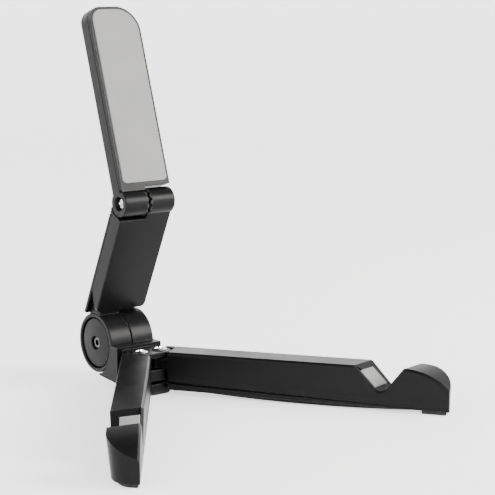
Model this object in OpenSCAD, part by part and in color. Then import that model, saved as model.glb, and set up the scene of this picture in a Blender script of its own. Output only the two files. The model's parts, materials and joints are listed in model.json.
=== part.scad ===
// Folding tablet stand: a hub with a tilting two-piece support arm and two swing-out legs.
// Origin: on the table, midway between the two leg hinge pins. +Z is up, -Y is forward.

/* [Hub] */
// Height of the tilt axis above the table
hub_z = 17.2; // [17:0.1:18]
// Distance of the tilt axis behind the leg hinge pins
hub_y = 24.3; // [24:0.1:26]
// Diameter of the hub barrel
barrel_d = 24; // [23.5:0.1:24.4]
// Width of the hub barrel
barrel_w = 20; // [20:0.1:20.6]

/* [Lower arm] */
// Forward lean of the lower arm from upright
lean = 25.5; // [0:0.5:60]
// Width of both arms
arm_w = 23; // [22:0.5:25]
// Distance from the tilt axis to the fold axis
lower_len = 62; // [58:0.5:70]
// Thickness of the lower arm
lower_t = 8; // [7.5:0.1:8.4]

/* [Upper arm] */
// Backward lean of the upper arm from upright
recline = 18; // [0:0.5:30]
// Distance from the fold axis to the top end
upper_len = 77.5; // [70:0.5:90]
// Thickness of the upper arm without its pad
upper_t = 7; // [6.6:0.1:7.4]
// Radius of the left top corner
left_corner_r = 5.5; // [4:0.5:10]
// Radius of the right top corner
right_corner_r = 10.5; // [4:0.5:11]

/* [Legs] */
// Angle of each leg from straight ahead
spread = 36; // [20:1:45]
// Distance from the hinge pin to the end of a leg
leg_len = 116; // [110:0.5:130]
// Width of one leg
leg_w = 11.4; // [10.8:0.1:11.6]
// Height of the flat top of a leg
leg_top = 17; // [16.5:0.1:17.4]
// Slant of the tablet notch across the leg
slant = 24; // [0:1:30]
// Inward lean of the outer face of a leg, from top to bottom
draft = 6; // [2:0.5:7]

/* [Hinges] */
// Distance of each leg hinge pin from the middle plane
hinge_x = 4.5; // [4.5:0.1:4.8]
// Radius of the fold knuckles
knuckle_r = 5.2; // [5:0.1:5.3]
// Depth of the locking teeth between the fold knuckles
tooth_h = 0.7; // [0.4:0.1:0.8]

/* [Hidden] */
$fn = 64;

black_plastic = [0.16, 0.16, 0.17];
inner_plastic = [0.24, 0.24, 0.25];
pad_grey = [0.72, 0.72, 0.70];
foot_rubber = [0.08, 0.08, 0.08];
steel = [0.78, 0.79, 0.80];
brass = [0.72, 0.60, 0.32];

gap = 0.3;                      // clearance between parts that move past each other
seam = 0.15;                    // half of the visible seam round the hub
running = 0.08;                 // radial play of a knuckle on its pin
snug = 0.02;                    // radial play of a part that is fixed in its bore
slip = 0.05;                    // room between a part and its seat
far = 60;                       // reach of a cutting solid

// Hub barrel, along X
barrel_r = barrel_d / 2;
barrel_x = barrel_w / 2;
block_x = barrel_x + 0.5;       // half width of the base block
cap_recess_r = 10.4;
cap_r = 9.9;
cap_floor = 7.6;                // X of the ledge that a cap sits on
cap_hole_r = 2.75;
bolt_r = 2.45;
bolt_head_r = 3.6;
bolt_head_x = 4.7;              // X of the underside of the bolt head, on the left
bolt_head_t = 1.9;
bolt_socket_r = 2.1;            // the head's socketed end, which stands in the cap's hole
bolt_end_x = 9.2;
chamber_r = 7.5;                // room round the bolt head and its spring washers
chamber_floor = 3.4;
detent_r = 7.8;
detent_floor = 1.7;
detent_t = 0.8;
detent_teeth = 24;
nut_flat = 8;
nut_t = 3;
nut_x = 4.3;

// Base block and its hinge plates
block_front = 7.6;
block_rear = 21.3;
block_top = 18.2;
block_under_front = 3.55;
block_under_rear = 4.55;
flange_z = [14.8, 16.9];        // top plate, just below the tops of the legs
plate_z = [[1.3, 4.4], [5.65, 10.1]];
knuckle_z = [[4.55, 5.5], [10.25, 14.65]];
plate_r = 4.4;
leg_knuckle_r = hinge_x - 0.25;
neck_x = hinge_x + 3.2;
foot_t = 1.3;
foot_x = 8.5;
foot_y = 4.4;
pin_r = 1.5;
pin_head_r = 2.9;
pin_head_t = 1.2;
pin_foot = 1.6;                 // lowest point of a leg hinge screw

// Lower arm, in its own frame: tilt axis at the origin, Z along the arm, -Y its front
arm_x = arm_w / 2;
fold_y = 6.4;                   // the fold axis lies behind the tilt axis
lower_front = fold_y - lower_t / 2;
lower_back = fold_y + lower_t / 2;
lower_foot = 13.1;              // where the front face ends above the barrel
lower_lip = lower_len - 5.5;    // front lip below the upper knuckle
lower_shoulder = lower_len - 4;
lower_wall = 1.5;
cover_t = 1.3;
cover_foot = 8.6;
pocket_x = 9.6;                 // inner face of the pocket beside the barrel
pocket_top = 20;
pocket_wall = 1.2;
lower_bosses = [[0, 22], [-7, 46], [7, 46]];

// Fold hinge, along X
scoop_r = knuckle_r + gap;
tooth_n = 12;
tooth_in = 3.6;
tooth_out = knuckle_r - slip;
left_face = -0.95;              // roots of the teeth on the upper arm's knuckle
right_face = left_face + tooth_h * 2 + 0.1;
fold_pin_r = 1.25;
fold_head_r = 2.3;
fold_head_t = 1.6;
fold_head_x = 8.9;
fold_bore_floor = 8.3;
fold_bore_r = 2.75;
fold_nut_flat = 4.9;
fold_nut_t = 2;
fold_nut_x = 8.5;

// Upper arm, in its own frame: fold axis at the origin, Z along the arm, -Y its front
upper_x = arm_x - 0.1;
upper_front = -(upper_t / 2 + 0.25);
upper_back = upper_t / 2 - 0.25;
upper_wall = 1.4;
plate_t = 1.6;
upper_cut = 5.7;                // lower edge beside the lower arm's knuckle
chin = 3.7;                     // lower edge of the front plate above its own knuckle
pad_border = 1.3;
pad_foot = 7.2;
pad_t = 1;
pad_proud = 0.5;
pad_corner_r = 1.8;
upper_bosses = [[0, 66], [-6, 22], [6, 22]];

// Leg, in its own frame: hinge pin at the origin, X along the leg, +Y its outer side
leg_in = 0.2 - hinge_x;         // the inner faces of the closed legs stay 0.4 apart
leg_out = leg_in + leg_w;
leg_root = plate_r + gap;
boss_y = leg_in + leg_w / 2 - 0.5;
cheek_root = 0.5;               // the outer wall reaches back beside the hinge plates
cheek_in = leg_root + 0.1;
nose_r = 8;                     // round outer corner of the end
nose_s = leg_len - nose_r;
notch_s = leg_len - 36.8;       // top edge of the notch on the inner side
notch_foot_s = leg_len - 26.45;
notch_foot_z = leg_top - 10.9;
notch_r = 2.8;
crest_s = leg_len - 18.2;
crest_z = leg_top - 0.3;
hook_r = 25.6;
hook_s = crest_s;               // the hook is highest just past its crest
hook_z = leg_top - hook_r;
under_root = 2;                 // height of the lower edge at the root and at the end
under_tip = 1.4;
leg_wall = 1.4;
cavity_s = [13.5, 77];
cavity_low_s = 100;
cavity_low_z = 5.6;
lid_s = [21, 102.5];            // ends of the bulge below the leg
lid_bulge = 1.2;
lid_t = 1.2;
lid_gap = 0.1;
lid_inset = 0.12;
leg_bosses = [26, 70];
boss_r = 2.3;
screw_r = 1;
screw_head_r = 1.8;
screw_head_t = 0.8;
notch_pad_t = 1;
notch_pad_proud = 0.5;
notch_pad_w = [1.2, 8.1];       // sides of the pad, from the inner face of the leg
notch_pad_along = [2.7, 10.9];  // ends of the pad, down the slope
tip_foot_r = 6.5;
tip_foot_t = 2;
tip_foot_s = leg_len - 1.1 - tip_foot_r;
tip_foot_y = leg_in + 1.2;      // centre of its round corner
tip_foot_back = 3;              // reach behind that centre
stud_s = 6.4;
stud_r = 1.2;
stud_z = 0.5;

// Helpers ------------------------------------------------------------------

// Cylinder along X between two places
module rod_x(x0, x1, r) {
    translate([x0, 0, 0]) rotate([0, 90, 0]) cylinder(h = x1 - x0, r = r);
}

// Outline drawn in (Y, Z), pushed along X between two places
module push_x(x0, x1) {
    translate([x0, 0, 0]) rotate([90, 0, 90]) linear_extrude(x1 - x0) children();
}

// Outline drawn in (X, Z), pushed along Y between two places
module push_y(y0, y1) {
    translate([0, y1, 0]) rotate([90, 0, 0]) linear_extrude(y1 - y0) children();
}

// Outline drawn in (X, Y), pushed up between two heights
module push_z(z0, z1) {
    translate([0, 0, z0]) linear_extrude(z1 - z0) children();
}

// Nut along X with its thread hole
module nut_along_x(x0, flat, t, r) {
    translate([x0, 0, 0]) rotate([0, 90, 0]) difference() {
        cylinder(h = t, r = flat / sqrt(3), $fn = 6);
        translate([0, 0, -1]) cylinder(h = t + 2, r = r);
    }
}

// Ring of face teeth that rise along +X from X = 0
module face_teeth(r_in, r_out, n, h) {
    half = r_out * tan(180 / n);
    intersection() {
        difference() {
            rod_x(-0.2, h, r_out);
            rod_x(-1, h + 1, r_in);
        }
        for (i = [0 : n - 1])
            rotate([i * 360 / n, 0, 0]) translate([0, 0, r_in * 0.8])
                linear_extrude(r_out) polygon([[-0.25, -half * 1.02], [h, 0], [-0.25, half * 1.02]]);
    }
}

// Countersunk self-tapping screw, head at the origin, shank along +Z
module small_screw(length) {
    union() {
        cylinder(h = screw_head_t, r1 = screw_head_r, r2 = screw_r);
        cylinder(h = length, r = screw_r);
    }
}

// Room for that screw in a plate of a given thickness
module screw_seat(plate) {
    translate([0, 0, -0.01]) cylinder(h = screw_head_t, r1 = screw_head_r + slip, r2 = screw_r + slip);
    translate([0, 0, -1]) cylinder(h = plate + 2, r = screw_r + slip);
}

module at_hub() {
    translate([0, hub_y, hub_z]) rotate([lean, 0, 0]) children();
}

module at_fold() {
    at_hub() translate([0, fold_y, lower_len]) rotate([-(lean + recline), 0, 0]) children();
}

module at_right_leg() {
    translate([hinge_x, 0, 0]) rotate([0, 0, spread - 90]) children();
}

// Points on an arc
function arc(cx, cy, r, a0, a1, n) =
    [for (i = [0 : n]) let (a = a0 + (a1 - a0) * i / n) [cx + r * cos(a), cy + r * sin(a)]];

// Base ---------------------------------------------------------------------

module hinge_plan() {
    for (side = [-1, 1]) translate([side * hinge_x, 0]) circle(r = plate_r);
    translate([-hinge_x, -plate_r]) square([2 * hinge_x, 2 * plate_r]);
    translate([-neck_x, 0]) square([2 * neck_x, block_front + 1]);
}

module hinge_plate(z0, z1) {
    push_z(z0, z1) difference() {
        hinge_plan();
        for (side = [-1, 1]) translate([side * hinge_x, 0]) circle(r = pin_r + snug);
    }
}

module block_profile() {
    polygon([[block_front, block_under_front], [block_rear, block_under_rear], [block_rear, hub_z],
        [hub_y - barrel_r + 1, block_top], [block_front, block_top]]);
}

module base_block() {
    color(black_plastic) difference() {
        union() {
            // the left half leaves room for the barrel half of the lower arm
            difference() {
                push_x(-block_x, seam) block_profile();
                translate([0, hub_y, hub_z]) rod_x(-far, seam + 0.01, barrel_r + gap);
            }
            push_x(seam, block_x) block_profile();
            translate([0, hub_y, hub_z]) rod_x(seam, barrel_x, barrel_r);
            for (z = concat(plate_z, [flange_z])) hinge_plate(z[0], z[1]);
        }
        translate([0, hub_y, hub_z]) {
            rod_x(seam - 1, detent_floor, detent_r + 0.2);
            rod_x(0, barrel_x, bolt_r + snug);
            rod_x(cap_floor, far, cap_recess_r);
            translate([nut_x - 0.1, 0, 0]) rotate([0, 90, 0])
                cylinder(h = cap_floor - nut_x + 0.2, r = (nut_flat + 0.1) / sqrt(3), $fn = 6);
        }
    }
}

module base_foot() {
    color(foot_rubber) push_z(0, foot_t) {
        for (side = [-1, 1]) translate([side * (foot_x - foot_y), 0]) circle(r = foot_y);
        translate([foot_y - foot_x, -foot_y]) square([2 * (foot_x - foot_y), 2 * foot_y]);
    }
}

// Domed cap that stands on the ledge inside one end of the barrel, drawn along +Z
module barrel_cap(hole_r) {
    rim = barrel_x - cap_floor - 0.1;
    dome = 0.45;
    steps = 6;
    r_in = max(hole_r, 0);
    rotate_extrude() polygon(concat(
        [[cap_r - 1.5, 0], [cap_r, 0]],
        [for (i = [0 : steps]) let (r = cap_r + (r_in - cap_r) * i / steps)
            [r, rim - dome + dome * (1 - pow(r / cap_r, 2)) * (i > 0 ? 1 : 0) + (i > 0 ? dome * 0.3 : 0)]],
        [[r_in, 1], [cap_r - 1.5, 1]]));
}

module right_cap() {
    color(black_plastic) translate([cap_floor, hub_y, hub_z]) rotate([0, 90, 0]) barrel_cap(0);
}

module left_cap() {
    color(black_plastic) at_hub() translate([-cap_floor, 0, 0]) rotate([0, -90, 0]) barrel_cap(cap_hole_r);
}

module hub_bolt() {
    tip = nut_x + nut_t + 0.4;
    color(steel) translate([0, hub_y, hub_z]) difference() {
        union() {
            rod_x(-bolt_end_x, -bolt_head_x - 0.1, bolt_socket_r);
            rod_x(-bolt_head_x - bolt_head_t, -bolt_head_x, bolt_head_r);
            rod_x(-bolt_head_x - 0.1, tip, bolt_r);
        }
        translate([-bolt_end_x - 0.1, 0, 0]) rotate([0, 90, 0]) cylinder(h = 1.5, r = 1.35, $fn = 6);
    }
}

module hub_nut() {
    color(brass) translate([0, hub_y, hub_z]) nut_along_x(nut_x, nut_flat, nut_t, bolt_r + snug / 2);
}

// Two cone washers, back to back, under the bolt head
module hub_spring_washers() {
    outer = 5.6;
    inner = bolt_r + 0.1;
    t = 0.35;
    color(steel) translate([-bolt_head_x, hub_y, hub_z]) rotate([0, 90, 0]) {
        rotate_extrude() polygon([[inner, 0], [outer, 0.2], [outer, 0.2 + t], [inner, t]]);
        rotate_extrude() polygon([[inner, 0.8], [outer, 0.6], [outer, 0.6 + t], [inner, 0.8 + t]]);
    }
}

module detent_ring() {
    inner = bolt_r + 0.6;
    union() {
        difference() {
            rod_x(-detent_t, 0, detent_r);
            rod_x(-detent_t - 1, 1, inner);
        }
        face_teeth(inner + 1.6, detent_r, detent_teeth, 0.5);
    }
}

module base_detent_ring() {
    color(inner_plastic) translate([detent_floor - detent_t, hub_y, hub_z]) mirror([1, 0, 0]) detent_ring();
}

module arm_detent_ring() {
    color(inner_plastic) at_hub() translate([detent_t - detent_floor, 0, 0]) detent_ring();
}

module leg_hinge_screws() {
    slot_w = 0.7;
    slot_d = 0.6;
    slot_len = 3.6;
    head_z = flange_z[1];
    color(steel) for (side = [-1, 1]) translate([side * hinge_x, 0, 0]) difference() {
        union() {
            push_z(pin_foot, head_z) circle(r = pin_r);
            push_z(head_z, head_z + pin_head_t) circle(r = pin_head_r);
        }
        for (turn = [0, 90]) rotate([0, 0, turn])
            translate([-slot_w / 2, -slot_len / 2, head_z + pin_head_t - slot_d]) cube([slot_w, slot_len, 1]);
    }
}

// Lower arm ----------------------------------------------------------------

// Side view of the arm, without the barrel; the right side reaches up to its knuckle
module lower_profile(top) {
    difference() {
        translate([lower_front, 0]) square([lower_t, top]);
        circle(r = barrel_r + gap + 0.1);
        translate([-far, -far]) square([2 * far, far]);
        translate([lower_front - 1, 0]) square([3, lower_foot]);
    }
}

// Front view of the arm, with its lower corners rounded
module lower_front_view() {
    corner = 2;
    translate([-arm_x, lower_foot + corner]) square([arm_w, lower_len]);
    translate([-arm_x + corner, 0]) square([arm_w - 2 * corner, lower_foot + corner]);
    for (side = [-1, 1]) translate([side * (arm_x - corner), lower_foot + corner]) circle(r = corner);
}

module lower_solid() {
    difference() {
        intersection() {
            union() {
                push_x(-arm_x, right_face) lower_profile(lower_shoulder);
                push_x(right_face, arm_x) lower_profile(lower_len);
            }
            push_y(lower_front - 1, lower_back + 1) lower_front_view();
        }
        // hollow for the upper arm's knuckle, with a lower lip at the front
        translate([0, fold_y, lower_len]) rod_x(-far, right_face, scoop_r);
        push_x(-far, right_face) translate([lower_front - 1, lower_lip]) square([4, far]);
    }
}

// Room inside the arm, open at the back
module lower_hollow() {
    push_y(lower_front + lower_wall, far)
        translate([lower_wall - arm_x, lower_foot + 6])
            square([arm_w - 2 * lower_wall, lower_lip - lower_foot - 8]);
}

module lower_neck_profile() {
    difference() {
        translate([lower_front, 0]) square([lower_back - cover_t - lower_front, lower_foot + 7]);
        translate([-far, -far]) square([2 * far, far + 5]);
    }
}

module lower_arm_shell() {
    bar_x = [-barrel_x, -seam];
    color(black_plastic) at_hub() difference() {
        union() {
            difference() {
                lower_solid();
                // seat of the back cover
                push_y(lower_back - cover_t, far) translate([-far, 0]) square([2 * far, lower_lip - 1]);
                // pocket in the left side, above the barrel
                push_x(-far, -pocket_x)
                    polygon([[lower_front + pocket_wall, lower_foot - 0.5], [lower_back - cover_t, pocket_top],
                        [far, pocket_top], [far, 0], [lower_front + pocket_wall, 0]]);
                lower_hollow();
            }
            for (b = lower_bosses) translate([b[0], lower_front + 0.5, b[1]]) rotate([-90, 0, 0])
                cylinder(h = lower_t - cover_t - 0.5, r = boss_r);
            push_x(-pocket_x, -seam) lower_neck_profile();
            rod_x(bar_x[0], bar_x[1], barrel_r);
            translate([0, fold_y, lower_len]) {
                rod_x(right_face, arm_x, knuckle_r);
                rod_x(left_face + gap, right_face + 0.1, tooth_in - gap);
                translate([right_face, 0, 0]) rotate([-(lean + recline) + 180 / tooth_n, 0, 0])
                    mirror([1, 0, 0]) face_teeth(tooth_in, tooth_out, tooth_n, tooth_h);
            }
        }
        for (b = lower_bosses) translate([b[0], lower_front + lower_wall, b[1]]) rotate([-90, 0, 0])
            cylinder(h = lower_t, r = screw_r + snug);
        rod_x(-far, -cap_floor, cap_recess_r);
        rod_x(-cap_floor - 1, -chamber_floor, chamber_r);
        rod_x(-chamber_floor - 1, 0, bolt_r + running);
        rod_x(-detent_floor, 1, detent_r + 0.2);
        translate([0, fold_y, lower_len]) {
            rod_x(-1, far, fold_pin_r + snug);
            translate([fold_nut_x - 0.1, 0, 0]) rotate([0, 90, 0])
                cylinder(h = far, r = (fold_nut_flat + 0.1) / sqrt(3), $fn = 6);
        }
    }
}

module lower_arm_cover() {
    top = lower_lip - 1.2;
    color(black_plastic) at_hub() difference() {
        push_y(lower_back - cover_t, lower_back)
            translate([-arm_x, cover_foot]) square([arm_w, top - cover_foot]);
        for (b = lower_bosses) translate([b[0], lower_back, b[1]]) rotate([90, 0, 0]) screw_seat(cover_t);
    }
}

module lower_arm_screws() {
    color(steel) at_hub() for (b = lower_bosses)
        translate([b[0], lower_back, b[1]]) rotate([90, 0, 0]) small_screw(5);
}

module fold_screw() {
    color(steel) at_hub() translate([0, fold_y, lower_len]) difference() {
        union() {
            rod_x(-fold_head_x - fold_head_t, -fold_head_x, fold_head_r);
            rod_x(-fold_head_x - 0.1, fold_nut_x + fold_nut_t + 0.2, fold_pin_r);
        }
        for (turn = [0, 90]) rotate([turn, 0, 0])
            translate([-fold_head_x - fold_head_t - 0.1, -0.3, -1.4]) cube([0.9, 0.6, 2.8]);
    }
}

module fold_nut() {
    color(brass) at_hub() translate([0, fold_y, lower_len])
        nut_along_x(fold_nut_x, fold_nut_flat, fold_nut_t, fold_pin_r + snug / 2);
}

module fold_washer() {
    color(steel) at_hub() translate([0, fold_y, lower_len]) difference() {
        rod_x(-fold_head_x, -fold_bore_floor - 0.1, 2.6);
        rod_x(-far, 0, fold_pin_r + slip);
    }
}

// Upper arm ----------------------------------------------------------------

// Front view with two round top corners, drawn a set distance inside the edge
module upper_outline(inset, foot, foot_r = 0) {
    half = upper_x - inset;
    top = upper_len - inset;
    left_r = left_corner_r - inset;
    right_r = right_corner_r - inset;
    polygon([[-half, foot + foot_r], [foot_r - half, foot], [half - foot_r, foot], [half, foot + foot_r],
        [half, top - right_r], [half - right_r, top], [left_r - half, top], [-half, top - left_r]]);
    translate([left_r - half, top - left_r]) circle(r = left_r);
    translate([half - right_r, top - right_r]) circle(r = right_r);
    if (foot_r > 0)
        for (side = [-1, 1]) translate([side * (half - foot_r), foot + foot_r]) circle(r = foot_r);
}

// Room for the lower arm's knuckle
module upper_clearance() {
    rod_x(left_face, far, scoop_r);
    translate([left_face + 0.5, -far, -far]) cube([far, 2 * far, far + upper_cut]);
}

module upper_arm_shell() {
    front = upper_front + plate_t;
    color(black_plastic) at_fold() difference() {
        union() {
            difference() {
                push_y(front, upper_back) upper_outline(0, 0);
                push_y(-far, upper_back - upper_wall) difference() {
                    upper_outline(upper_wall, upper_cut + 3);
                }
            }
            for (b = upper_bosses) translate([b[0], front, b[1]]) rotate([-90, 0, 0])
                cylinder(h = upper_back - front - 0.5, r = boss_r);
            // chin above the knuckle, behind the front plate
            rod_x(-upper_x, left_face, knuckle_r);
        }
        upper_clearance();
        for (b = upper_bosses) translate([b[0], front - 1, b[1]]) rotate([-90, 0, 0])
            cylinder(h = 4.2, r = screw_r + snug);
        rod_x(-far, far, fold_pin_r + running);
        rod_x(-far, -fold_bore_floor, fold_bore_r);
        plate_seat();
    }
    color(black_plastic) at_fold() difference() {
        translate([left_face, 0, 0]) face_teeth(tooth_in, tooth_out, tooth_n, tooth_h);
        rod_x(-far, far, fold_pin_r + running);
    }
}

// Space in front of the shell that belongs to the front plate
module plate_seat() {
    push_y(-far, upper_front + plate_t) translate([-far, chin + slip]) square([2 * far, far * 2]);
}

module upper_arm_plate() {
    edge = 0.15;
    color(black_plastic) at_fold() difference() {
        push_y(upper_front, upper_front + plate_t) upper_outline(edge, chin);
        rod_x(-far, far, scoop_r);
        translate([left_face + 0.5, -far, -far]) cube([far, 2 * far, far + upper_cut]);
        push_y(-far, upper_front + pad_t - pad_proud) pad_outline(-slip);
        for (b = upper_bosses) translate([b[0], upper_front + pad_t - pad_proud, b[1]]) rotate([-90, 0, 0])
            screw_seat(plate_t);
    }
}

module pad_outline(inset) {
    upper_outline(pad_border + inset, pad_foot + inset, pad_corner_r);
}

module upper_arm_pad() {
    color(pad_grey) at_fold()
        push_y(upper_front - pad_proud, upper_front + pad_t - pad_proud) pad_outline(0);
}

module upper_arm_screws() {
    color(steel) at_fold() for (b = upper_bosses)
        translate([b[0], upper_front + pad_t - pad_proud, b[1]]) rotate([-90, 0, 0]) small_screw(4);
}

// Legs ---------------------------------------------------------------------

// Height of the lower edge of the leg
function under(s) = under_root + (under_tip - under_root) * s / leg_len;

// Height of the bulging lid below that edge
function lid_under(s) =
    let (mid = (lid_s[0] + lid_s[1]) / 2, half = (lid_s[1] - lid_s[0]) / 2)
    under(s) - lid_bulge * max(0, 1 - pow((s - mid) / half, 2));

// Place of the leaning outer face at a height
function leg_side(z) = leg_out - (leg_top - z) * tan(draft);

// Section of the leg in (Y, Z), from an inner side to a set distance inside the outer face
module leg_section(inner, inset, z0, z1) {
    polygon([[inner, z0], [leg_side(z0) - inset, z0], [leg_side(z1) - inset, z1], [inner, z1]]);
}

// Straight part, rounded end and the cheek beside the hinge plates, before the profile is cut
module leg_body() {
    top = leg_top + 1;
    side = leg_w * cos(draft);
    intersection() {
        translate([0, leg_in, leg_top]) rotate([-draft, 0, 0]) push_z(-far, far) {
            translate([nose_s, side - nose_r]) circle(r = nose_r);
            translate([cheek_root, -far]) square([nose_s - cheek_root, far + side]);
            translate([cheek_root, -far]) square([leg_len - cheek_root, far + side - nose_r]);
        }
        union() {
            translate([leg_root, leg_in, 0]) cube([leg_len, leg_w + 2, top]);
            translate([cheek_root, cheek_in, 0]) cube([leg_len, leg_w, top]);
        }
    }
}

// The notch and hook run across the leg at a slant, so their outline is drawn square to that slant
module slanted() {
    rotate([0, 0, -slant]) translate([-leg_in * sin(slant), 0, 0]) push_y(-far, far) children();
}

function down(s) = s * cos(slant);

function notch_arc() =
    let (rise_z = crest_z - notch_foot_z,
        a_in = atan2(leg_top - notch_foot_z, notch_foot_s - notch_s),
        a_out = atan2(rise_z, crest_s - notch_foot_s),
        half = (180 - a_in - a_out) / 2,
        tilt = 90 + (a_out - a_in) / 2,
        reach = notch_r / sin(half))
    arc(notch_foot_s + reach * cos(tilt), notch_foot_z + reach * sin(tilt), notch_r,
        270 - a_in, 270 + a_out, 6);

function hook_arc() =
    let (start = acos((crest_s + 0.4 - hook_s) / hook_r), end = acos((leg_len + 2 - hook_s) / hook_r))
    arc(hook_s, hook_z, hook_r, start, end, 16);

// Side view of the leg, square to the slant
module leg_profile() {
    polygon([for (p = concat(
        [[-far / 2, leg_top], [notch_s, leg_top]],
        notch_arc(),
        [[crest_s, crest_z]],
        hook_arc(),
        [[leg_len + 12, leg_top / 2], [leg_len + 12, 0], [-far / 2, 0]]))
        [down(p[0]), p[1]]]);
}

// Solid slab parallel to the notch slope, between two depths below its surface
module notch_slab(d0, d1) {
    drop = leg_top - notch_foot_z;
    run = down(notch_foot_s - notch_s);
    angle = atan2(drop, run);
    intersection() {
        rotate([0, 0, -slant]) translate([down(notch_s) - leg_in * sin(slant), 0, leg_top])
            rotate([0, angle, 0]) translate([notch_pad_along[0], -far, -d1])
                cube([notch_pad_along[1] - notch_pad_along[0], 2 * far, d1 - d0]);
        translate([0, leg_in + notch_pad_w[0], 0]) cube([2 * far, notch_pad_w[1] - notch_pad_w[0], far]);
    }
}

module leg_shell() {
    difference() {
        union() {
            difference() {
                intersection() {
                    leg_body();
                    slanted() leg_profile();
                    push_y(-far, far) polygon([[0, under(0)], [leg_len + 1, under(leg_len + 1)],
                        [leg_len + 1, far], [0, far]]);
                }
                // room inside, open below
                push_x(cavity_s[0], cavity_s[1])
                    leg_section(leg_in + leg_wall, leg_wall, -1, leg_top - leg_wall);
                push_x(cavity_s[0], cavity_low_s) leg_section(leg_in + leg_wall, leg_wall, -1, cavity_low_z);
                notch_slab(-1, notch_pad_t - notch_pad_proud);
                push_z(-1, tip_foot_t) tip_foot_plan(0);
            }
            for (s = leg_bosses) translate([s, boss_y, under(s) + lid_t])
                cylinder(h = leg_top - under(s) - lid_t - 0.5, r = boss_r);
            for (z = knuckle_z) push_z(z[0], z[1]) {
                circle(r = leg_knuckle_r);
                translate([0, leg_in]) square([leg_root + 1, leg_knuckle_r - leg_in]);
            }
            push_z(stud_z, 4) translate([stud_s, leg_in + leg_w / 2]) circle(r = stud_r);
        }
        push_z(-1, leg_top) circle(r = pin_r + running);
        for (s = leg_bosses) translate([s, boss_y, -1]) cylinder(h = 9, r = screw_r + snug);
    }
}

// Lid below the leg: a plug between the walls, and a bulge as wide as the leg
module leg_cover() {
    inset = leg_wall + lid_gap;
    plug = [cavity_s[0] + lid_gap, cavity_low_s - lid_gap];
    lap = lid_s[0] + 4;
    steps = 20;
    difference() {
        union() {
            intersection() {
                push_y(-far, far) polygon([[plug[0], under(plug[0]) + slip], [lap, under(lap) - 0.1],
                    [plug[1], under(plug[1]) - 0.1], [plug[1], under(plug[1]) + lid_t],
                    [plug[0], under(plug[0]) + lid_t]]);
                push_x(0, leg_len) leg_section(leg_in + inset, inset, -1, leg_top);
            }
            intersection() {
                push_y(-far, far) polygon(concat(
                    [for (i = [0 : steps]) let (s = lid_s[0] + (lid_s[1] - lid_s[0]) * i / steps)
                        [s, lid_under(s) - 0.03]],
                    [[lid_s[1], under(lid_s[1]) - 0.03], [lid_s[0], under(lid_s[0]) - 0.03]]));
                push_x(0, leg_len) leg_section(leg_in + lid_inset, lid_inset, -1, leg_top);
            }
        }
        for (s = leg_bosses) translate([s, boss_y, lid_under(s)]) screw_seat(lid_t + lid_bulge);
    }
}

module tip_foot_plan(inset) {
    r = tip_foot_r - inset;
    start = tip_foot_s - tip_foot_back + inset;
    edge = leg_in + 0.5 + inset;
    intersection() {
        union() {
            translate([tip_foot_s, tip_foot_y]) circle(r = r);
            translate([start, edge]) square([tip_foot_s + r - start, tip_foot_y - edge]);
            translate([start, edge]) square([tip_foot_s - start, tip_foot_y + r - edge]);
        }
        translate([start, edge]) square([leg_len, leg_w]);
    }
}

module leg_screws() {
    for (s = leg_bosses) translate([s, boss_y, lid_under(s) + 0.02]) small_screw(6);
}

module right_leg_shell() {
    color(black_plastic) at_right_leg() leg_shell();
}

module right_leg_cover() {
    color(inner_plastic) at_right_leg() leg_cover();
}

module right_notch_pad() {
    color(pad_grey) at_right_leg() notch_slab(-notch_pad_proud, notch_pad_t - notch_pad_proud);
}

module right_tip_foot() {
    color(foot_rubber) at_right_leg() push_z(0, tip_foot_t) tip_foot_plan(slip);
}

module right_leg_screws() {
    color(steel) at_right_leg() leg_screws();
}

module left_leg_shell() {
    mirror([1, 0, 0]) right_leg_shell();
}

module left_leg_cover() {
    mirror([1, 0, 0]) right_leg_cover();
}

module left_notch_pad() {
    mirror([1, 0, 0]) right_notch_pad();
}

module left_tip_foot() {
    mirror([1, 0, 0]) right_tip_foot();
}

module left_leg_screws() {
    mirror([1, 0, 0]) right_leg_screws();
}

base_block();
base_foot();
right_cap();
hub_bolt();
hub_nut();
hub_spring_washers();
base_detent_ring();
leg_hinge_screws();
lower_arm_shell();
lower_arm_cover();
left_cap();
arm_detent_ring();
lower_arm_screws();
fold_screw();
fold_nut();
fold_washer();
upper_arm_shell();
upper_arm_plate();
upper_arm_pad();
upper_arm_screws();
left_leg_shell();
left_leg_cover();
left_notch_pad();
left_tip_foot();
left_leg_screws();
right_leg_shell();
right_leg_cover();
right_notch_pad();
right_tip_foot();
right_leg_screws();
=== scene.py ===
import json
import math

import bmesh
import bpy
from mathutils import Matrix, Vector


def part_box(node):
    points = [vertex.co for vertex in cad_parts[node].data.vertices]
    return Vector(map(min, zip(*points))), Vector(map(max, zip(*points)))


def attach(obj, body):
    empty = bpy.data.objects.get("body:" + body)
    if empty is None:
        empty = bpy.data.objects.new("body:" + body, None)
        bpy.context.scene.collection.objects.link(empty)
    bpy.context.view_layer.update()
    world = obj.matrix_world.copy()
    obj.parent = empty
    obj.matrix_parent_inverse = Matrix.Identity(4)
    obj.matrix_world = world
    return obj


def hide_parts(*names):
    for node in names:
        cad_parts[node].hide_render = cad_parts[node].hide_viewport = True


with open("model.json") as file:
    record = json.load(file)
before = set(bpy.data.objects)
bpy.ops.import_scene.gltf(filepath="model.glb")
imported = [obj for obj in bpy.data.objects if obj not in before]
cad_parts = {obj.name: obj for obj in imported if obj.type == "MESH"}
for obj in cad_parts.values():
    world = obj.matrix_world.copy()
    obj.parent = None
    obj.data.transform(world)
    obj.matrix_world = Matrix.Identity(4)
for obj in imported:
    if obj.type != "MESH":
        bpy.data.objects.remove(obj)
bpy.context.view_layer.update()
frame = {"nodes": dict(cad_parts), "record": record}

MM = 0.001

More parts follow.
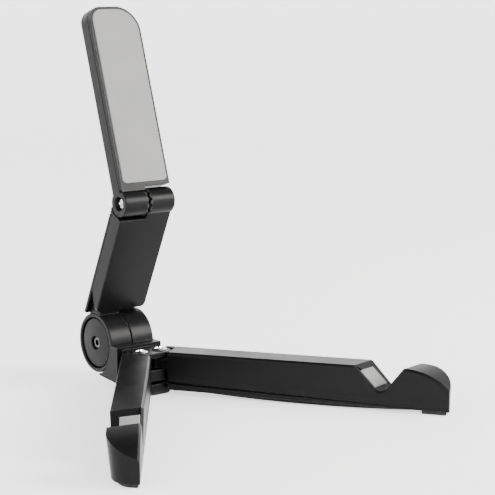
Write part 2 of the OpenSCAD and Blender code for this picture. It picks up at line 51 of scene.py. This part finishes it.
# The photograph's viewpoint: direction and distance from a point near the middle of the stand
VIEW_AZIMUTH = math.radians(-37.62)
VIEW_ELEVATION = math.radians(9.73)
VIEW_DISTANCE = 0.6671
VIEW_TARGET = Vector((0.06713, 0.02425, 0.04796))
LENS = 113.36

# Scene helpers and camera -----------------------------------------------------


def add_object(name, data):
    obj = bpy.data.objects.new(name, data)
    bpy.context.scene.collection.objects.link(obj)
    return obj


def mesh_object(name, mesh_name, bm):
    """An object with the mesh that bm holds, which is then freed."""
    mesh = bpy.data.meshes.new(mesh_name)
    bm.to_mesh(mesh)
    bm.free()
    return add_object(name, mesh)


def around(radius, sectors):
    """Evenly spaced points on a circle, as (x, y)."""
    turns = (2 * math.pi * k / sectors for k in range(sectors))
    return [(radius * math.cos(t), radius * math.sin(t)) for t in turns]


def direction(azimuth, elevation):
    """Unit vector away from the stand. Azimuth 0 is straight in front and grows to the right, in radians."""
    flat = math.cos(elevation)
    return Vector((math.sin(azimuth) * flat, -math.cos(azimuth) * flat, math.sin(elevation)))


def add_camera():
    back = direction(VIEW_AZIMUTH, VIEW_ELEVATION)
    data = bpy.data.cameras.new("camera")
    data.lens = LENS
    camera = add_object("camera", data)
    camera.location = VIEW_TARGET + back * VIEW_DISTANCE
    camera.rotation_euler = back.to_track_quat("Z", "Y").to_euler()
    bpy.context.scene.camera = camera


# Materials ------------------------------------------------------------------


class Shader:
    """A material whose nodes are added one by one and joined to its Principled shader."""

    def __init__(self, name, colour, roughness, **fixed):
        self.material = bpy.data.materials.new(name)
        self.material.use_nodes = True
        self.material.diffuse_color = (*colour, 1)
        self.nodes = self.material.node_tree.nodes
        self.links = self.material.node_tree.links
        self.shader = self.nodes["Principled BSDF"]
        self.shader.inputs["Base Color"].default_value = (*colour, 1)
        self.shader.inputs["Roughness"].default_value = roughness
        for label, value in fixed.items():
            self.shader.inputs[label.replace("_", " ")].default_value = value
        self.place = self.add("ShaderNodeTexCoord").outputs["Object"]

    def add(self, kind, inputs=None, **settings):
        node = self.nodes.new(kind)
        for key, value in settings.items():
            setattr(node, key, value)
        for key, value in (inputs or {}).items():
            if isinstance(value, bpy.types.NodeSocket):
                self.links.new(value, node.inputs[key])
            else:
                node.inputs[key].default_value = value
        return node

    def noise(self, scale, detail=2.0, rough=0.5, stretch=(1, 1, 1)):
        place = self.add("ShaderNodeMapping", {"Vector": self.place, "Scale": stretch}).outputs[0]
        return self.add("ShaderNodeTexNoise", {"Vector": place, "Scale": scale, "Detail": detail,
                                               "Roughness": rough}).outputs["Fac"]

    def remap(self, value, low, high, to_low=0.0, to_high=1.0):
        node = self.add("ShaderNodeMapRange", {"Value": value, "From Min": low, "From Max": high,
                                               "To Min": to_low, "To Max": to_high})
        return node.outputs[0]

    def math(self, operation, a, b):
        return self.add("ShaderNodeMath", {0: a, 1: b}, operation=operation).outputs[0]

    def mix(self, factor, a, b):
        node = self.add("ShaderNodeMix", {"Factor": factor}, data_type="RGBA")
        for socket, value in (("A", a), ("B", b)):
            target = [s for s in node.inputs if s.name == socket and s.type == "RGBA"][0]
            if isinstance(value, bpy.types.NodeSocket):
                self.links.new(value, target)
            else:
                target.default_value = (*value, 1)
        return [s for s in node.outputs if s.type == "RGBA"][0]

    def edges(self, radius):
        """1 on sharp edges and 0 on flat faces, from how far a rounded normal leans."""
        round_normal = self.add("ShaderNodeBevel", {"Radius": radius}, samples=6).outputs[0]
        normal = self.add("ShaderNodeNewGeometry").outputs["Normal"]
        dot = self.add("ShaderNodeVectorMath", {0: round_normal, 1: normal}, operation="DOT_PRODUCT")
        return self.remap(dot.outputs["Value"], 0.995, 0.88)

    def join(self, socket, value):
        self.links.new(value, self.shader.inputs[socket])

    def bump(self, height, strength, distance, under=None):
        inputs = {"Height": height, "Strength": strength, "Distance": distance}
        if under is not None:
            inputs["Normal"] = under
        return self.add("ShaderNodeBump", inputs).outputs[0]


def satin_plastic(name, colour, edge_wear_and_highlight, roughness):
    """Spark-eroded moulded plastic: fine grain, slow gloss changes, faint scuffs and polished edges, whose
    lighter colour is part edge wear and part painted highlight.
    """
    s = Shader(name, colour, roughness, Specular_IOR_Level=0.12)
    cloud = s.noise(70, 4)
    grain = s.noise(4200, 3, 0.6)
    scuff = s.remap(s.noise(420, 5, 0.65, (1, 1, 0.12)), 0.6, 0.78)
    # Mask of sharp edges, which take a lighter colour (part edge wear, part painted highlight along the rims)
    # and a lower roughness
    edge = s.math("MULTIPLY", s.edges(0.45 * MM), s.remap(s.noise(520, 3), 0.32, 0.62, 0.35, 1.0))
    tint = s.mix(s.remap(cloud, 0.3, 0.7), [0.86 * c for c in colour], [1.18 * c for c in colour])
    tint = s.mix(s.math("MULTIPLY", s.remap(grain, 0.35, 0.7), 0.35), tint, [1.5 * c for c in colour])
    s.join("Base Color", s.mix(edge, tint, edge_wear_and_highlight))
    gloss = s.remap(cloud, 0.3, 0.7, roughness - 0.05, roughness + 0.05)
    gloss = s.math("SUBTRACT", gloss, s.math("MULTIPLY", edge, 0.1))
    s.join("Roughness", s.math("ADD", gloss, s.math("MULTIPLY", scuff, 0.07)))
    s.join("Normal", s.bump(grain, 0.35, 0.012 * MM, s.bump(cloud, 0.25, 0.05 * MM)))
    return s.material


def soft_rubber(name, colour, roughness, grain_scale, sheen):
    """Matt rubber or foam skin with a pebbled grain, a dusty bloom and a painted highlight on its edges."""
    s = Shader(name, colour, roughness, Specular_IOR_Level=0.3, Sheen_Weight=sheen, Sheen_Roughness=0.6)
    cloud = s.noise(90, 4)
    pebble = s.add("ShaderNodeTexVoronoi", {"Vector": s.place, "Scale": grain_scale, "Randomness": 1.0},
                   feature="SMOOTH_F1").outputs["Distance"]
    fine = s.noise(grain_scale * 2.4, 3, 0.6)
    tint = s.mix(s.remap(cloud, 0.3, 0.7), [0.95 * c for c in colour], [min(1, 1.04 * c) for c in colour])
    tint = s.mix(s.math("MULTIPLY", s.remap(pebble, 0.15, 0.6), 0.3), tint, [0.88 * c for c in colour])
    # Edges are lightened to 1.25 times the colour: a painted highlight along the rims
    edge = s.math("MULTIPLY", s.edges(0.3 * MM), 0.5)
    s.join("Base Color", s.mix(edge, tint, [min(1, 1.25 * c) for c in colour]))
    s.join("Roughness", s.remap(fine, 0.3, 0.7, roughness - 0.07, roughness + 0.07))
    s.join("Normal", s.bump(fine, 0.3, 0.01 * MM, s.bump(pebble, 0.4, 0.02 * MM)))
    return s.material


def turned_metal(name, colour, roughness):
    """Plated or turned metal with fine tool marks, small stains and brighter edges."""
    s = Shader(name, colour, roughness, Metallic=1.0)
    marks = s.noise(2600)
    stain = s.noise(900, 4, 0.6)
    bright = [min(1, 1.25 * c) for c in colour]
    tint = s.mix(s.remap(stain, 0.35, 0.7), colour, [0.75 * c for c in colour])
    s.join("Base Color", s.mix(s.edges(0.15 * MM), tint, bright))
    s.join("Roughness", s.remap(stain, 0.3, 0.7, roughness - 0.06, roughness + 0.1))
    s.join("Normal", s.bump(marks, 0.25, 0.006 * MM))
    return s.material


MATERIALS = {
    # Each plastic's third value is its edge colour, lighter than the body: part edge wear, part painted
    # highlight
    "black_plastic": satin_plastic("black_plastic", (0.0024, 0.0024, 0.0029), (0.07, 0.068, 0.066), 0.34),
    "inner_plastic": satin_plastic("inner_plastic", (0.012, 0.012, 0.013), (0.05, 0.05, 0.05), 0.5),
    "grey_pad": soft_rubber("grey_pad", (0.215, 0.215, 0.208), 0.82, 3400, 0.05),
    "black_rubber": soft_rubber("black_rubber", (0.006, 0.006, 0.006), 0.7, 2600, 0.02),
    "steel": turned_metal("steel", (0.72, 0.73, 0.74), 0.16),
    "brass": turned_metal("brass", (0.62, 0.46, 0.20), 0.3),
}
BLACKENED_STEEL = turned_metal("blackened_steel", (0.11, 0.11, 0.115), 0.22)
BLACKENED_NODES = ("hub_bolt", "lower_arm_screws", "upper_arm_screws", "left_leg_screws", "right_leg_screws")
SLOT_OF = {part["node"]: part["material_slot"] for part in frame["record"]["subparts"]}
JOINTS = {joint["name"]: joint for joint in frame["record"]["behaviour"]["joints"]}
BODY_OF = {node: body for body, nodes in frame["record"]["behaviour"]["bodies"].items() for node in nodes}

# Mesh helpers ---------------------------------------------------------------


def material_of(node):
    return BLACKENED_STEEL if node in BLACKENED_NODES else MATERIALS[SLOT_OF[node]]


def finish_piece(piece, node):
    """Makes an object the piece that stands for a CAD node, shaded by its face areas."""
    piece.data.materials.append(material_of(node))
    normals = piece.modifiers.new("normals", "WEIGHTED_NORMAL")
    normals.keep_sharp = True
    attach(piece, BODY_OF[node])
    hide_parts(node)
    return piece


def shade(bm, sharp_angle):
    """Smooth shading with sharp edges where two faces meet at more than an angle."""
    for face in bm.faces:
        face.smooth = True
    for edge in bm.edges:
        if edge.is_manifold and edge.calc_face_angle(0) > sharp_angle:
            edge.smooth = False


def whole_faces(node):
    """A copy of a CAD node's mesh with its flat faces made whole."""
    bm = bmesh.new()
    bm.from_mesh(frame["nodes"][node].data)
    bmesh.ops.remove_doubles(bm, verts=bm.verts, dist=0.002 * MM)
    bmesh.ops.dissolve_limit(bm, angle_limit=math.radians(0.5), verts=bm.verts, edges=bm.edges,
                             use_dissolve_boundaries=False)
    bmesh.ops.dissolve_degenerate(bm, dist=0.002 * MM, edges=bm.edges)
    bmesh.ops.recalc_face_normals(bm, faces=bm.faces)
    return bm


def rounded_copy(node, width, chamfer=None, chamfer_width=0.0, sharp=math.radians(26)):
    """Stands for a CAD node with its outer edges rounded, after the edges that chamfer() picks are cut flat."""
    bm = whole_faces(node)
    if chamfer:
        picked = [e for e in bm.edges if e.is_manifold and chamfer(*(v.co for v in e.verts))]
        bmesh.ops.bevel(bm, geom=picked, offset=chamfer_width, offset_type="OFFSET", segments=1, profile=0.5,
                        affect="EDGES", clamp_overlap=False, loop_slide=True, material=-1)
    weight = bm.edges.layers.float.new("bevel_weight_edge")
    for edge in bm.edges:
        if edge.is_manifold and edge.calc_face_angle_signed(0) > sharp:
            edge[weight] = 1.0
    shade(bm, math.radians(40))
    piece = mesh_object(node + "_finished", node + "_rounded", bm)
    bevel = piece.modifiers.new("edges", "BEVEL")
    bevel.limit_method = "WEIGHT"
    bevel.width = width
    bevel.segments = 3
    bevel.use_clamp_overlap = False
    return finish_piece(piece, node)


# Lathe and screws -------------------------------------------------------------


def spin(bm, profile, place, sectors=96):
    """Turns a (radius, height) profile about the place's Z axis. A radius of 0 closes the form."""
    rings = []
    for radius, height in profile:
        points = around(radius, sectors) if radius > 0 else [(0, 0)]
        rings.append([bm.verts.new(place @ Vector((x, y, height))) for x, y in points])
    for a, b in zip(rings, rings[1:]):
        for k in range(sectors):
            corners = [a[k % len(a)], a[(k + 1) % len(a)], b[(k + 1) % len(b)], b[k % len(b)]]
            bm.faces.new(list(dict.fromkeys(corners)))
    return rings


def ease(value):
    """A smooth step from 0 to 1."""
    value = min(1.0, max(0.0, value))
    return value * value * (3 - 2 * value)


def cross_recess(x, y, width, length, depth):
    """Depth of a tapered cross recess below a screw's top."""
    def arm(across, along):
        inside = ease((width / 2 - abs(across)) / (0.35 * width) + 0.5)
        return inside * ease((length / 2 - abs(along)) / (0.16 * length) + 0.3)
    return depth * max(arm(x, y), arm(y, x))


def screw(bm, place, rim, side, cross, dome, rings=22, sectors=72):
    """A screw with a domed or flat top of radius rim, a cross recess, and the side profile below its rim.

    cross holds the recess's width, length and depth, and dome is the height of the top over its rim.
    """
    width, length, depth = cross
    centre = bm.verts.new(place @ Vector((0, 0, dome - depth)))
    grid = []
    for i in range(1, rings + 1):
        r = rim * i / rings
        top = dome * (1 - (r / rim) ** 2)
        grid.append([bm.verts.new(place @ Vector((x, y, top - cross_recess(x, y, width, length, depth))))
                     for x, y in around(r, sectors)])
    for k in range(sectors):
        bm.faces.new((centre, grid[0][k], grid[0][(k + 1) % sectors]))
    for a, b in zip(grid, grid[1:]):
        for k in range(sectors):
            bm.faces.new((a[k], b[k], b[(k + 1) % sectors], a[(k + 1) % sectors]))
    below = spin(bm, side, place, sectors)
    for k in range(sectors):
        bm.faces.new((grid[-1][k], below[0][k], below[0][(k + 1) % sectors], grid[-1][(k + 1) % sectors]))


def turned_piece(build, node, name):
    """A piece made by build(bm) that stands for a CAD node."""
    bm = bmesh.new()
    build(bm)
    bmesh.ops.recalc_face_normals(bm, faces=bm.faces)
    shade(bm, math.radians(35))
    return finish_piece(mesh_object(name, name, bm), node)


def facing(point, outward):
    """A place at point whose Z axis looks outward."""
    turn = Vector(outward).normalized().to_track_quat("Z", "Y").to_matrix().to_4x4()
    return Matrix.Translation(Vector(point)) @ turn


def scaled(profile):
    """A profile given in mm, in metres."""
    return [(r * MM, z * MM) for r, z in profile]


def flat_heads(node, least_area):
    """Places on the flat tops of a CAD node's screws, Z outwards."""
    bm = whole_faces(node)
    tops = [face for face in bm.faces if face.calc_area() > least_area]
    places = [facing(face.calc_center_median(), face.normal) for face in tops]
    bm.free()
    return places

# Pieces -----------------------------------------------------------------------

# Distances in mm
PIN_X = 4.5                      # leg hinge pins from the middle plane
LEG_INNER = -4.3                 # a leg's inner side from the line through its pin
LEG_LEN = 116.0                  # from the pin to the tip
SPREAD = math.radians(36)        # a leg's swing from straight ahead
COVER_TOP = 2.6                  # height that the tip foot and the leg cover stay below


def leg_place(side, point):
    """Place in a leg's own frame, in mm: along the leg from its pin, outwards from its pin, and up."""
    x = side * point.x / MM - PIN_X
    y = point.y / MM
    along = x * math.sin(SPREAD) - y * math.cos(SPREAD)
    return along, x * math.cos(SPREAD) + y * math.sin(SPREAD), point.z / MM


def inner_top_edge(side):
    """Picks a leg's long upper edge on its inner side, down the notch and over the hook."""
    def test(a, b):
        ends = [leg_place(side, p) for p in (a, b)]
        on_side = all(abs(n - LEG_INNER) < 0.06 and z > COVER_TOP for _, n, z in ends)
        (s0, _, z0), (s1, _, z1) = ends
        return on_side and abs(s1 - s0) > 0.3 * abs(z1 - z0) and min(s0, s1) < LEG_LEN - 0.5
    return test


def make_legs():
    for side, name in ((-1, "left"), (1, "right")):
        rounded_copy(name + "_leg_shell", 0.25 * MM, inner_top_edge(side), 0.75 * MM)
        rounded_copy(name + "_leg_cover", 0.15 * MM)
        rounded_copy(name + "_tip_foot", 0.35 * MM)
        rounded_copy(name + "_notch_pad", 0.3 * MM)


def make_arms():
    rounded_copy("base_block", 0.25 * MM)
    rounded_copy("lower_arm_shell", 0.42 * MM)
    rounded_copy("lower_arm_cover", 0.2 * MM)
    rounded_copy("upper_arm_shell", 0.4 * MM)
    rounded_copy("upper_arm_plate", 0.15 * MM)
    rounded_copy("base_foot", 0.3 * MM)
    rounded_copy("upper_arm_pad", 0.28 * MM)


HUB = Vector(JOINTS["arm_tilt"]["pos_m"])
FOLD = Vector(JOINTS["arm_fold"]["pos_m"])
CAP_FOOT = 7.6                   # a cap's foot from the middle plane, in mm
CAP_SECTORS = 128


def make_caps():
    """The two domed caps of the hub, the left one with a hole over the bolt."""
    dome_r, dome_foot, dome_rise = 9.38, 1.92, 0.5
    rim = [(8.4, 0.0), (9.75, 0.0), (9.9, 0.15), (9.9, 1.45), (9.84, 1.66), (9.66, 1.83), (dome_r, dome_foot)]
    dome = [(r, dome_foot + dome_rise * (1 - (r / dome_r) ** 2)) for r in (8.8, 8.0, 7.0, 6.0, 5.0, 4.0)]
    lip = [(3.2, 2.40), (2.98, 2.36), (2.82, 2.24), (2.75, 2.05), (2.75, 1.0)]
    right = rim + dome + [(3.0, 2.4), (1.4, 2.42), (0, 2.425)]
    left = rim + dome + lip + [(8.4, 1.0), (8.4, 0.0)]
    foot = Vector((CAP_FOOT * MM, 0, 0))

    def right_cap(bm):
        spin(bm, scaled(right), facing(HUB + foot, (1, 0, 0)), CAP_SECTORS)
        open_foot = [edge for edge in bm.edges if len(edge.link_faces) == 1]
        bmesh.ops.holes_fill(bm, edges=open_foot, sides=0)

    def left_cap(bm):
        spin(bm, scaled(left), facing(HUB - foot, (-1, 0, 0)), CAP_SECTORS)
        bmesh.ops.remove_doubles(bm, verts=bm.verts, dist=0.001 * MM)

    turned_piece(right_cap, "right_cap", "right_cap_dome")
    turned_piece(left_cap, "left_cap", "left_cap_dome")


def hinge_screws(bm):
    """The two upright pan-head screws that the legs swing on."""
    rim, dome = 2.9 * MM, 0.75 * MM
    side = scaled([(2.9, -0.25), (2.82, -0.4), (2.7, -0.45), (1.5, -0.45), (1.5, -15.75), (0, -15.75)])
    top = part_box("leg_hinge_screws")[1][2]
    for pin in (-PIN_X * MM, PIN_X * MM):
        screw(bm, facing((pin, 0, top - dome), (0, 0, 1)), rim, side, (0.8 * MM, 3.7 * MM, 0.7 * MM), dome)


def fold_screw(bm):
    """The pan-head screw of the fold joint, its head on the left."""
    rim, dome = 2.3 * MM, 0.65 * MM
    side = scaled([(2.3, -0.2), (2.2, -0.9), (1.25, -0.95), (1.25, -19.9), (0, -20.3)])
    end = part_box("fold_screw")[0][0]
    place = facing((end + dome, FOLD.y, FOLD.z), (-1, 0, 0))
    screw(bm, place, rim, side, (0.75 * MM, 2.9 * MM, 0.75 * MM), dome)


def cover_screws(node, length):
    """A builder of the flat screws that hold a cover."""
    rim, dome = 1.8 * MM, 0.05 * MM
    side = scaled([(1.77, -0.07), (1.0, -0.8), (1.0, 0.7 - length), (0, -length)])

    def build(bm):
        for place in flat_heads(node, 8 * MM * MM):
            screw(bm, place, rim, side, (0.6 * MM, 2.4 * MM, 0.65 * MM), dome, 18, 64)
    return build


def make_screws():
    turned_piece(hinge_screws, "leg_hinge_screws", "leg_hinge_screw_heads")
    turned_piece(fold_screw, "fold_screw", "fold_screw_head")
    for node, length in (("lower_arm_screws", 5.0), ("left_leg_screws", 6.0), ("right_leg_screws", 6.0)):
        turned_piece(cover_screws(node, length), node, node + "_heads")
    rounded_copy("hub_bolt", 0.12 * MM)


make_legs()
make_arms()
make_caps()
make_screws()

for node, obj in frame["nodes"].items():
    obj.data.materials.clear()
    obj.data.materials.append(material_of(node))

# Stage ----------------------------------------------------------------------


def add_stage():
    """A round floor that turns up into a pale wall."""
    flat, bend, height, sides = 1.5, 0.7, 1.2, 96
    curve = [(flat + bend * math.sin(a), bend - bend * math.cos(a))
             for a in (math.pi / 2 * i / 12 for i in range(13))]
    profile = [(0.4, 0.0), (1.0, 0.0)] + curve + [(flat + bend, height)]
    bm = bmesh.new()
    rings = [[bm.verts.new((x, y, z)) for x, y in around(r, sides)] for r, z in profile]
    bm.faces.new(rings[0])
    for inner, outer in zip(rings, rings[1:]):
        for k in range(sides):
            bm.faces.new((inner[k], outer[k], outer[(k + 1) % sides], inner[(k + 1) % sides]))
    for face in bm.faces:
        face.smooth = True
    bmesh.ops.recalc_face_normals(bm, faces=bm.faces)
    floor = mesh_object("studio_floor", "studio_floor", bm)
    s = Shader("studio_paper", (0.93, 0.93, 0.925), 0.9, Specular_IOR_Level=0.1, Emission_Color=(1, 1, 1, 1),
               Emission_Strength=1.2)
    fibre = s.noise(300, 3)
    s.join("Base Color", s.mix(fibre, (0.925, 0.925, 0.92), (0.94, 0.94, 0.935)))
    floor.data.materials.append(s.material)


def add_softbox(name, azimuth, elevation, size, power, colour):
    """A square area light that faces the stand from 1 m away. Its angles are in degrees."""
    place = direction(math.radians(azimuth), math.radians(elevation))
    data = bpy.data.lights.new(name, "AREA")
    data.energy = power
    data.size = size
    data.color = colour
    light = add_object(name, data)
    light.location = place + Vector((0.02, 0, 0.05))
    light.rotation_euler = place.to_track_quat("Z", "Y").to_euler()


def add_world():
    """Soft light from low all round, with a darker ceiling."""
    world = bpy.data.worlds.new("studio")
    world.use_nodes = True
    nodes, links = world.node_tree.nodes, world.node_tree.links
    up = nodes.new("ShaderNodeSeparateXYZ")
    links.new(nodes.new("ShaderNodeTexCoord").outputs["Generated"], up.inputs[0])
    fall = nodes.new("ShaderNodeMapRange")
    fall.interpolation_type = "SMOOTHSTEP"
    for label, value in (("From Min", 0.5), ("From Max", 0.92), ("To Min", 2.3), ("To Max", 0.4)):
        fall.inputs[label].default_value = value
    links.new(up.outputs["Z"], fall.inputs["Value"])
    links.new(fall.outputs[0], nodes["Background"].inputs["Strength"])
    nodes["Background"].inputs["Color"].default_value = (1, 1, 1, 1)
    bpy.context.scene.world = world


def add_lights():
    add_softbox("front_right_box", azimuth=42, elevation=26, size=0.45, power=15, colour=(1.0, 0.97, 0.92))
    add_softbox("left_box", azimuth=-132, elevation=20, size=0.8, power=1, colour=(1.0, 0.97, 0.94))
    add_world()


add_camera()
add_stage()
add_lights()

bpy.context.view_layer.update()
